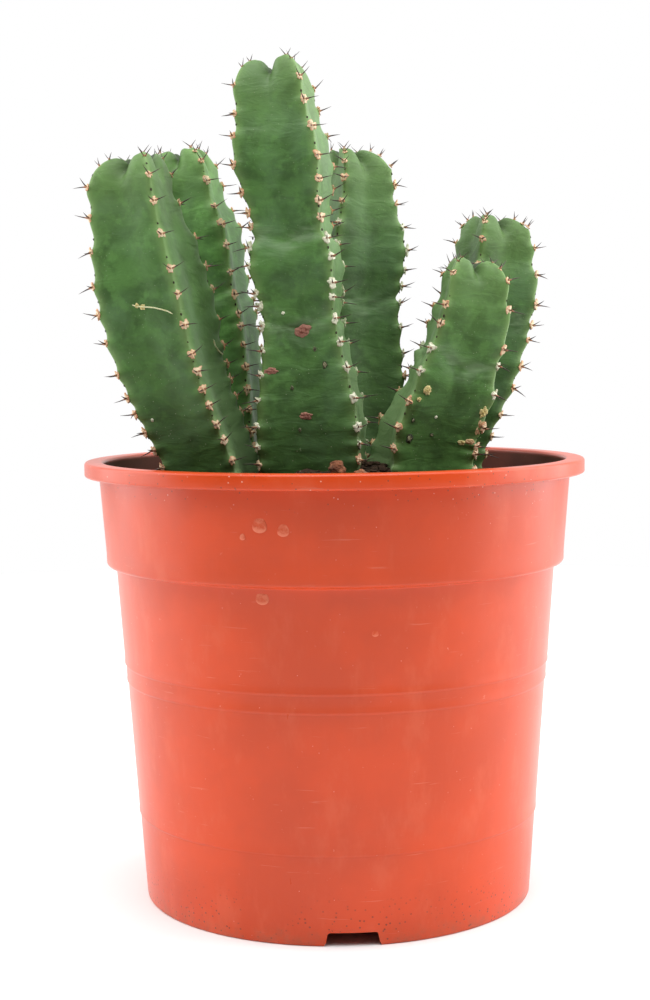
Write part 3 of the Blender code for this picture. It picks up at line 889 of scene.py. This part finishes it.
def stem_surface(stem):
    """The rows of points of a stem's skin, with what each point's finish depends on."""
    angles = column_angles()
    shape = stem.section(angles)
    crest_weight = np.exp(-(angles / math.radians(9))**2)
    face_weight = np.sin(np.abs(angles) * 2)**2
    turns = np.concatenate([angles + rib * math.pi / 2 for rib in range(RIBS)])
    crease = np.tile(1 - np.exp(-((math.pi / 4 - np.abs(angles)) / math.radians(15))**2), RIBS)
    rows, notes = [], {key: [] for key in ("crest", "youth", "joint", "age", "pit", "bloom")}
    # How much paler each face is: partly wax bloom, partly painted side light.
    face_wax_and_light = np.array(stem.bloom)[(np.floor(turns / (math.pi / 2)) % RIBS).astype(int)]
    levels = np.linspace(STEM_CUT, stem.crown, int((stem.crown - STEM_CUT) / ROW_STEP))
    top_height = stem.crown + stem.tip
    sag = JOINT_SAG * np.tile(face_weight, RIBS)

    def nearness(height, spread):
        """How close each point is to a growth joint, which sags in the middle of every face."""
        close = np.zeros(len(turns))
        for level in stem.joints:
            close = np.maximum(close, np.exp(-((height - level + sag) / spread)**2))
        return close

    def note(height, crest_share, notch_shade_share=0.0):
        """Keep what the finish needs to know about one row."""
        dry = min(max(1 - (height - SOIL_TOP) / (50 * MM), 0), 1)
        shares = dict(crest=np.tile(np.exp(-(angles / math.radians(5))**2), RIBS) * crest_share,
                      youth=math.exp(-((top_height - height) / (22 * MM))**2),
                      joint=nearness(height, 4.5 * MM), age=dry, pit=notch_shade_share, bloom=face_wax_and_light)
        for key, share in shares.items():
            notes[key].append(share * np.ones(len(turns)))

    def row_at(middle, reach):
        """One row of points around the stem."""
        return middle + np.outer(reach * np.cos(turns), across) + np.outer(reach * np.sin(turns), beside)

    for height in levels:
        centre, tangent, across, beside = stem.basis(height)
        radius = stem.radius(height)
        reach = []
        for rib in range(RIBS):
            ripple = 0.2 * MM * (stem.pad_share(rib, height) - 0.5)
            widened = 1 + (stem.rib_share(rib, height) - 1) * np.cos(angles * 2)**2
            reach.append(shape * radius * widened + crest_weight * stem.rib_bump(rib, height)
                         + face_weight * ripple)
        reach = np.concatenate(reach) - 0.8 * MM * nearness(height, 2 * MM)
        rows.append(row_at(centre, reach))
        note(height, 1.0)
    base_reach = reach
    centre, tangent, across, beside = stem.basis(stem.crown)
    inner = stem.lobe * (0.3 + 0.7 * crease)
    rise = stem.apex_rise + (stem.tip - stem.apex_rise) * crease
    for row in range(1, DOME_ROWS + 1):
        turned = math.pi / 2 * row / DOME_ROWS
        height = stem.crown + stem.tip * math.sin(turned)
        bumps = np.concatenate([crest_weight * (stem.rib_bump(rib, height) - stem.rib_bump(rib, stem.crown))
                                for rib in range(RIBS)])
        reach = inner + (base_reach - inner) * math.cos(turned) + bumps * math.cos(turned)
        lift = rise * math.sin(turned) + bumps * math.sin(turned)
        rows.append(row_at(centre + stem.lean * (1 - math.cos(turned)), reach) + np.outer(lift, tangent))
        # The last value is painted shade along the cleft between the tip's lobes; the notch rows below get
        # it in full.
        note(height, 1.0, (1 - crease) * math.sin(turned)**6)
    top_reach, top_lift = reach, lift
    pit_rise = stem.apex_rise - 1.0 * MM
    for row in range(1, NOTCH_ROWS):
        share = row / NOTCH_ROWS
        lift = top_lift + (pit_rise - top_lift) * share**1.6
        rows.append(row_at(centre + stem.lean, top_reach * (1 - share)**0.8) + np.outer(lift, tangent))
        note(top_height, 1 - share, 1.0)
    return rows, centre + stem.lean + tangent * pit_rise, notes


def build_skin(stem, material):
    """The stem's skin as a closed mesh, slightly uneven as grown things are."""
    rows, apex, notes = stem_surface(stem)
    columns = len(rows[0])
    points = np.concatenate(rows)
    axis_points = np.repeat([row.mean(axis=0) for row in rows], columns, axis=0)
    outward = points - axis_points
    outward /= np.maximum(np.linalg.norm(outward, axis=1), 1e-9)[:, None]
    swell = np.array([stem.swell(point) for point in points])
    points = points + outward * swell[:, None]
    faces = grid_faces(len(rows), columns)
    faces += fan((len(rows) - 1) * columns, columns, len(points))
    faces += fan(0, columns, len(points) + 1, turned=True)
    points = np.vstack([points, apex, rows[0].mean(axis=0)])
    attributes = {key: np.append(np.concatenate(value), (0, 0)) for key, value in notes.items()}
    return add_piece(stem.name + "_skin", points, faces, material, [stem.name], attributes)


def pad_places(stem):
    """Every spine pad above the soil: its rib, its height and how full-grown it is."""
    places = []
    for rib in range(RIBS):
        for height in stem.rib_pads[rib]:
            if height > SOIL_TOP - 1 * MM:
                below_top = stem.crown + stem.tip - height
                places.append((rib, height, min(1.0, 0.6 + below_top / (45 * MM))))
        for lift, grown in ((0.86, 0.5), (0.98, 0.38)):
            places.append((rib, stem.crown + stem.tip * lift, grown))
    return places


def build_pads(stem, settings, material):
    """Ragged corky pads along each rib, one for each pair of spines."""
    points, faces = ball(4)
    rims = [math.hypot(unit.x, unit.z) for unit in points]
    heap = Heap("edge", "pale")
    chooser = random.Random(stem.seed * 11)
    for index, (rib, height, grown) in enumerate(pad_places(stem)):
        point, out, up, side = stem.crest(rib, height)
        length = settings.pad_length / 2 * grown * chooser.uniform(0.75, 1.05)
        width = length * chooser.uniform(0.75, 1.0)
        depth = 0.26 * length
        pale = 1.0 if stem.pale[0] <= height <= stem.pale[1] else chooser.uniform(0.0, 0.3)
        placed = []
        for unit in points:
            ragged = 1 + 0.75 * roughen((unit.x, unit.z, 0), 0.55, index + stem.seed * 50)
            lumpy = 1 + 0.6 * roughen(unit, 0.4, index + stem.seed * 70)
            taper = 1 + 0.25 * unit.z
            placed.append(point + side * unit.x * width * ragged * taper + up * unit.z * length * ragged
                          + out * (unit.y * depth * lumpy - abs(unit.x) * width * 0.3))
        heap.add(placed, faces, edge=rims, pale=[pale] * len(placed))
    heap.piece(stem.name + "_pads", material)


def add_spine(heap, root, direction, bend, length, thickness):
    """One tapered spine, slightly bowed, with a swollen root and a sharp point."""
    sides, steps = 7, 7
    side = np.cross(direction, bend)
    side /= np.linalg.norm(side)
    lift = np.cross(side, direction)
    points, values = [], []
    for step in range(steps):
        share = step / steps
        girth = thickness * (1 - share)**0.75 * (1 + 0.5 * math.exp(-(share / 0.12)**2))
        points += hoop(root + direction * length * share + lift * length * 0.09 * share**2, side, lift,
                       girth, sides)
        values += [share] * sides
    tip, heel = len(points), len(points) + 1
    points.append(root + direction * length + lift * length * 0.09)
    points.append(root - direction * thickness)
    faces = grid_faces(steps, sides) + fan((steps - 1) * sides, sides, tip)
    heap.add(points, faces + fan(0, sides, heel, turned=True), along=values + [1.0, 0.0])


def build_spines(stem, settings, material):
    """A spreading pair of spines on each pad."""
    heap = Heap("along")
    chooser = random.Random(stem.seed * 23)
    for rib, height, grown in pad_places(stem):
        point, out, up, side = stem.crest(rib, height)
        for hand in (-1, 1):
            spread = math.radians(chooser.uniform(30, 50)) * hand
            tilt = math.radians(chooser.uniform(-12, 22))
            direction = (out * math.cos(spread) * math.cos(tilt) + side * math.sin(spread)
                         + up * math.sin(tilt))
            direction /= np.linalg.norm(direction)
            length = settings.spine_length * (0.45 + 0.55 * grown) * chooser.uniform(0.8, 1.08)
            thickness = 0.3 * MM * (0.6 + 0.4 * grown) * chooser.uniform(0.85, 1.15)
            root = point + side * hand * 0.45 * MM * grown + out * 0.35 * MM
            add_spine(heap, root, direction, up * chooser.choice((-1, 1, 1)) + side * 0.3, length, thickness)
    heap.piece(stem.name + "_spines", material)


def build_eyes(stem, material):
    """The small dark bud that sits on the rib above each pad."""
    points, faces = ball(2)
    heap = Heap()
    chooser = random.Random(stem.seed * 37)
    for rib in range(RIBS):
        for height in stem.rib_pads[rib]:
            above = height + chooser.uniform(3.4, 4.6) * MM
            if above > stem.crown + stem.tip * 0.7 or height < SOIL_TOP:
                continue
            point, out, up, side = stem.crest(rib, above)
            size = chooser.uniform(0.32, 0.55) * MM
            heap.add([point + side * unit.x * size * 0.8 + up * unit.z * size * 1.15
                      + out * unit.y * size * 0.45 for unit in points], faces)
    heap.piece(stem.name + "_buds", material)


def skin_point(stem, height, bearing):
    """A point on a face of a stem, with the directions out of it, up and across."""
    centre, tangent, across, beside = stem.basis(height)
    quarter = math.pi / 2
    nearest = round(bearing / quarter)
    reach = stem.radius(height) * float(stem.section(np.array([bearing - nearest * quarter]))[0])
    ray = across * math.cos(bearing) + beside * math.sin(bearing)
    face = math.floor(bearing / quarter) * quarter + quarter / 2
    out = across * math.cos(face) + beside * math.sin(face)
    point = centre + ray * reach
    return point + ray * stem.swell(point), out, tangent, np.cross(tangent, out)


def build_marks(stems, finishes):
    """Healed scars, each a thin crust on the skin."""
    points, faces = ball(4)
    heaps = {finish: Heap("edge") for finish in finishes}
    edges = [math.hypot(unit.x, unit.z) for unit in points]
    marks = [(stems[name], *mark) for name, marks in MARKS.items() for mark in marks]
    for index, (stem, height, bearing, length, width, finish) in enumerate(marks):
        point, out, up, side = skin_point(stem, height * MM, math.radians(bearing))
        placed = []
        for unit in points:
            ragged = 1 + 0.5 * roughen((unit.x, unit.z, 0), 0.6, index + 3)
            crust = 0.5 * MM * (1 + 0.8 * roughen(unit, 0.35, index + 9))
            placed.append(point + side * unit.x * width * MM / 2 * ragged
                          + up * unit.z * length * MM / 2 * ragged + out * unit.y * crust)
        heaps[finish].add(placed, faces, edge=edges)
    for finish, heap in heaps.items():
        heap.piece("mark_" + finish, finishes[finish])


def build_threads(stems, material):
    """Dried threads that lie on the skin."""
    heap = Heap()
    sides = 8
    for name, path in THREADS:
        stem = stems[name]
        bends = np.array(path)
        steps = 8 * len(bends)
        shares = np.linspace(0, len(bends) - 1, steps)
        heights = np.interp(shares, range(len(bends)), bends[:, 0])
        bearings = np.interp(shares, range(len(bends)), bends[:, 1])
        points = []
        for step, (height, bearing) in enumerate(zip(heights, bearings)):
            middle, out, up, side = skin_point(stem, height * MM, math.radians(bearing))
            tapered = min(1, (steps - step) / 4, (step + 1) / 4)
            girth = (0.2 + 0.14 * math.sin(step * 1.3)**2) * MM * tapered
            points += hoop(middle + out * 0.25 * MM, up, out, girth, sides)
        heap.add(points, grid_faces(steps, sides))
    heap.piece("dried_threads", material)


# ---- soil and bark

def soil_height(radius):
    """The height of the smooth mound at a distance from the middle."""
    return SOIL_EDGE_HEIGHT + SOIL_MOUND * (1 - (radius / COLLAR_BORE)**2)


def soil_point(x, y):
    """The uneven surface of the soil above a point."""
    height = soil_height(math.hypot(x, y))
    lumps = 1.3 * roughen((x, y, 0), 14 * MM, 1) + 0.9 * roughen((x, y, 0), 4.5 * MM, 2)
    return height + (lumps + 0.45 * roughen((x, y, 0), 1.7 * MM, 3)) * MM


def build_soil(settings):
    """The soil's surface, with a skirt that runs down inside the pot."""
    rings, columns = 96, 300
    edge = COLLAR_BORE + 1.2 * MM
    points = []
    for ring in range(1, rings + 1):
        for turned in around(columns):
            x, y = polar(edge * ring / rings, turned)
            points.append((x, y, soil_point(x, y)))
    points += [(*polar(COLLAR_BORE - 0.5 * MM, turned), SOIL_FOOT) for turned in around(columns)]
    faces = [tuple(reversed(face)) for face in grid_faces(rings + 1, columns)]
    faces += fan(0, columns, len(points))
    faces += fan(rings * columns, columns, len(points) + 1, turned=True)
    points += [(0, 0, soil_point(0, 0)), (0, 0, SOIL_FOOT)]
    add_piece("soil_surface", points, faces, soil_finish(settings), ["potting_soil"])


def build_crumbs(settings):
    """Loose crumbs on the soil."""
    points, faces = ball(2)
    chooser = random.Random(5)
    heap = Heap()
    for index in range(settings.crumbs):
        reach = CRUMB_REACH * math.sqrt(chooser.random())
        x, y = polar(reach, chooser.uniform(0, 2 * math.pi))
        size = (0.45 + 1.5 * chooser.random()**3) * MM
        shape = Vector((chooser.uniform(0.7, 1.3), chooser.uniform(0.7, 1.3), chooser.uniform(0.5, 0.9)))
        middle = Vector((x, y, soil_point(x, y) + size * 0.35))
        heap.add([middle + unit * shape * size * (1 + 0.45 * roughen(unit, 0.7, index))
                  for unit in points], faces)
    heap.piece("soil_crumbs", soil_finish(settings, "soil_crumb", lighten=1.35), "potting_soil")


def build_bark(name, index, material):
    """A bark chip: the designed lump, with split and flaking faces."""
    shape = bmesh.new()
    shape.from_mesh(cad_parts[name].data)
    bmesh.ops.remove_doubles(shape, verts=shape.verts, dist=WELD)
    bmesh.ops.subdivide_edges(shape, edges=shape.edges, cuts=5, use_grid_fill=True)
    shape.normal_update()
    low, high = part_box(name)
    for vert in shape.verts:
        flake = 0.55 * roughen(vert.co, 2.6 * MM, index) + 0.25 * roughen(vert.co, 0.9 * MM, index + 5)
        layers = 0.22 * math.sin(vert.co.z / (0.45 * MM) + 3 * roughen(vert.co, 4 * MM, index))
        above = min((vert.co.z - low[2]) / (1 * MM), 1)
        vert.co += vert.normal * (flake + layers - 0.35) * MM * above
    finish_piece(name + "_flake", as_mesh(name + "_flake", shape), material, [name])


# ---- operators

def made_stems():
    """Every stem's shape, by name."""
    return {name: Stem(name) for name in STEMS}


class SPURGE_OT_pot(bpy.types.Operator):
    """Turn the pot, cut its drainage notches and holes, and dry a few drops on it"""
    bl_idname = "spurge.pot"
    bl_label = "Pot"

    def execute(self, context):
        build_pot(context.scene.spurge_pot)
        build_drops(mark_finish("drop", (0.62, 0.078, 0.024), (0.74, 0.2, 0.11), 3 * MM))
        return {"FINISHED"}


class SPURGE_OT_soil(bpy.types.Operator):
    """Fill the pot with soil and scatter crumbs on it"""
    bl_idname = "spurge.soil"
    bl_label = "Soil"

    def execute(self, context):
        build_soil(context.scene.spurge_soil)
        build_crumbs(context.scene.spurge_soil)
        return {"FINISHED"}


class SPURGE_OT_bark(bpy.types.Operator):
    """Lay the bark chips on the soil"""
    bl_idname = "spurge.bark"
    bl_label = "Bark chips"

    def execute(self, context):
        material = bark_finish()
        chips = sorted(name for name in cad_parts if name.startswith("bark_chip"))
        if not chips:
            raise RuntimeError("the frame has no bark chips")
        for index, name in enumerate(chips):
            build_bark(name, index, material)
        return {"FINISHED"}


class SPURGE_OT_skins(bpy.types.Operator):
    """Grow the green skin of every stem"""
    bl_idname = "spurge.skins"
    bl_label = "Stem skins"

    def execute(self, context):
        for stem in made_stems().values():
            offset = tuple(0.37 * stem.seed + share for share in (0, 0.11, 0.23))
            build_skin(stem, skin_finish(context.scene.spurge_plant, stem.name + "_green", offset,
                                         stem.tone, stem.shade))
        return {"FINISHED"}


class SPURGE_OT_spines(bpy.types.Operator):
    """Set pads, buds and paired spines along every rib"""
    bl_idname = "spurge.spines"
    bl_label = "Pads and spines"

    def execute(self, context):
        settings = context.scene.spurge_plant
        cork, horn = pad_finish(), spine_finish()
        bud = mark_finish("bud", (0.02, 0.022, 0.01), (0.07, 0.05, 0.025), 0.5 * MM)
        for stem in made_stems().values():
            build_pads(stem, settings, cork)
            build_spines(stem, settings, horn)
            build_eyes(stem, bud)
        return {"FINISHED"}


class SPURGE_OT_marks(bpy.types.Operator):
    """Add the healed scars and the dried threads"""
    bl_idname = "spurge.marks"
    bl_label = "Healed scars"

    def execute(self, context):
        finishes = {
            "brown": mark_finish("brown", (0.2, 0.06, 0.04), (0.36, 0.17, 0.12), 1.2 * MM),
            "dark": mark_finish("dark", (0.03, 0.03, 0.015), (0.14, 0.15, 0.08), 0.8 * MM),
            "ringed": mark_finish("ringed", (0.5, 0.47, 0.28), (0.035, 0.045, 0.02), 0.8 * MM),
            "pale": mark_finish("pale", (0.6, 0.62, 0.45), (0.8, 0.8, 0.62), 0.8 * MM),
            "yellow": mark_finish("yellow", (0.42, 0.33, 0.09), (0.72, 0.62, 0.28), 0.9 * MM),
            "cork": mark_finish("cork", (0.3, 0.14, 0.06), (0.62, 0.42, 0.22), 1.0 * MM),
        }
        stems = made_stems()
        build_marks(stems, finishes)
        build_threads(stems, mark_finish("thread", (0.6, 0.6, 0.3), (0.8, 0.8, 0.55), 0.9 * MM))
        return {"FINISHED"}


class SPURGE_OT_stage(bpy.types.Operator):
    """Set the floor, the lights and the camera"""
    bl_idname = "spurge.stage"
    bl_label = "Stage"

    def execute(self, context):
        build_floor(context.scene.spurge_stage)
        build_lights()
        build_curtain()
        build_camera(context.scene.spurge_stage)
        return {"FINISHED"}


FLOOR_RADIUS = 1.04
CURTAIN_RADIUS = 1.05
CURTAIN_FOOT, CURTAIN_TOP = 0.02, 1.0
CURTAIN_BEARINGS = range(-166, -19, 6)
WHITE = (1, 1, 1, 1)
# The lights: where each one stands, how wide and high it is in metres, and its watts.
LIGHTS = {
    "soft_right": ((1.0, 0.15, 0.5), 1.2, 1.4, 14),
    "soft_left": ((-1.0, 0.15, 0.45), 1.1, 1.3, 10),
    "soft_top": ((0.0, -0.35, 1.5), 1.4, 1.0, 17),
}
LIGHTS_AIM = Vector((0, 0, 0.17))
CAMERA_PLACE = (-3.7 * MM, -0.6701, 0.2062)
CAMERA_TIP = math.radians(4.717)
CAMERA_ROLL = math.radians(-0.597)
SENSOR_HEIGHT = 36


def build_floor(settings):
    """A round pale floor that melts into the white room."""
    shape = bmesh.new()
    bmesh.ops.create_circle(shape, cap_ends=True, segments=96, radius=FLOOR_RADIUS)
    paint = Paint("floor_white", roughness=0.6, specular=0.2)
    grain = paint.grain(0.4, detail=2)
    colour = Vector(settings.floor)
    paint.set("Base Color", paint.mix(grain.ease(0.3, 0.7), colour * 0.99, colour))
    mesh = as_mesh("floor", shape)
    mesh.materials.append(paint.material)
    floor = set_out("floor", mesh)


def build_lights():
    """Soft boxes on both sides and above, in a white room."""
    for name, (place, width, height, power) in LIGHTS.items():
        lamp = bpy.data.lights.new(name, "AREA")
        lamp.shape = "RECTANGLE"
        lamp.size, lamp.size_y = width, height
        lamp.energy = power
        light = set_out(name, lamp)
        light.location = place
        light.rotation_euler = (LIGHTS_AIM - Vector(place)).to_track_quat("-Z", "Y").to_euler()
    world = bpy.data.worlds.new("white_room")
    world.use_nodes = True
    background = world.node_tree.nodes["Background"]
    background.inputs["Color"].default_value = WHITE
    background.inputs["Strength"].default_value = 1.0
    bpy.context.scene.world = world


def build_curtain():
    """A dark curtain around the front, which the pot and the stems reflect and the camera doesn't see."""
    points = [(*polar(CURTAIN_RADIUS, math.radians(angle)), z)
              for angle in CURTAIN_BEARINGS for z in (CURTAIN_FOOT, CURTAIN_TOP)]
    faces = [(low, low + 2, low + 3, low + 1) for low in range(0, len(points) - 2, 2)]
    mesh = bpy.data.meshes.new("curtain")
    mesh.from_pydata(points, [], faces)
    paint = Paint("curtain_black", roughness=0.9)
    weave = paint.grain(0.05, detail=2)
    paint.set("Base Color", paint.mix(weave, (0.02, 0.02, 0.02), (0.04, 0.04, 0.04)))
    mesh.materials.append(paint.material)
    curtain = set_out("curtain", mesh)
    curtain.visible_camera = False


def build_camera(settings):
    """A camera that looks along +Y, tipped down, then rolled about its own line of sight."""
    lens = bpy.data.cameras.new("camera")
    lens.sensor_fit = "VERTICAL"
    lens.sensor_height = SENSOR_HEIGHT
    lens.lens = settings.lens
    camera = set_out("camera", lens)
    camera.location = CAMERA_PLACE
    tipped = Matrix.Rotation(math.pi / 2 - CAMERA_TIP, 3, "X")
    camera.rotation_euler = (tipped @ Matrix.Rotation(CAMERA_ROLL, 3, "Z")).to_euler()
    bpy.context.scene.camera = camera
    bpy.context.scene.view_settings.view_transform = "Standard"


class SPURGE_PT_panel(bpy.types.Panel):
    """Makes the pieces and holds their settings"""
    bl_idname = "SPURGE_PT_panel"
    bl_label = "Potted Spurge"
    bl_space_type = "VIEW_3D"
    bl_region_type = "UI"
    bl_category = "Potted Spurge"

    def draw(self, context):
        scene = context.scene
        for settings in (scene.spurge_pot, scene.spurge_plant, scene.spurge_soil, scene.spurge_stage):
            box = self.layout.box()
            for key in settings.__annotations__:
                box.prop(settings, key)
        for step in STEPS:
            self.layout.operator(step.bl_idname)


GROUPS = {"spurge_pot": PotSettings, "spurge_plant": PlantSettings, "spurge_soil": SoilSettings,
          "spurge_stage": StageSettings}
STEPS = (SPURGE_OT_stage, SPURGE_OT_pot, SPURGE_OT_soil, SPURGE_OT_bark, SPURGE_OT_skins,
         SPURGE_OT_spines, SPURGE_OT_marks)


def register():
    """Make the settings, the operators and the panel known to Blender."""
    for cls in (*GROUPS.values(), *STEPS, SPURGE_PT_panel):
        bpy.utils.register_class(cls)
    for name, group in GROUPS.items():
        setattr(bpy.types.Scene, name, PointerProperty(type=group))


def unregister():
    """Take them all away again."""
    for name in GROUPS:
        delattr(bpy.types.Scene, name)
    for cls in (SPURGE_PT_panel, *reversed(STEPS), *reversed(list(GROUPS.values()))):
        bpy.utils.unregister_class(cls)


def main():
    """Make every piece in turn."""
    register()
    for step in STEPS:
        group, action = step.bl_idname.split(".")
        getattr(getattr(bpy.ops, group), action)()


if __name__ == "__main__":
    main()
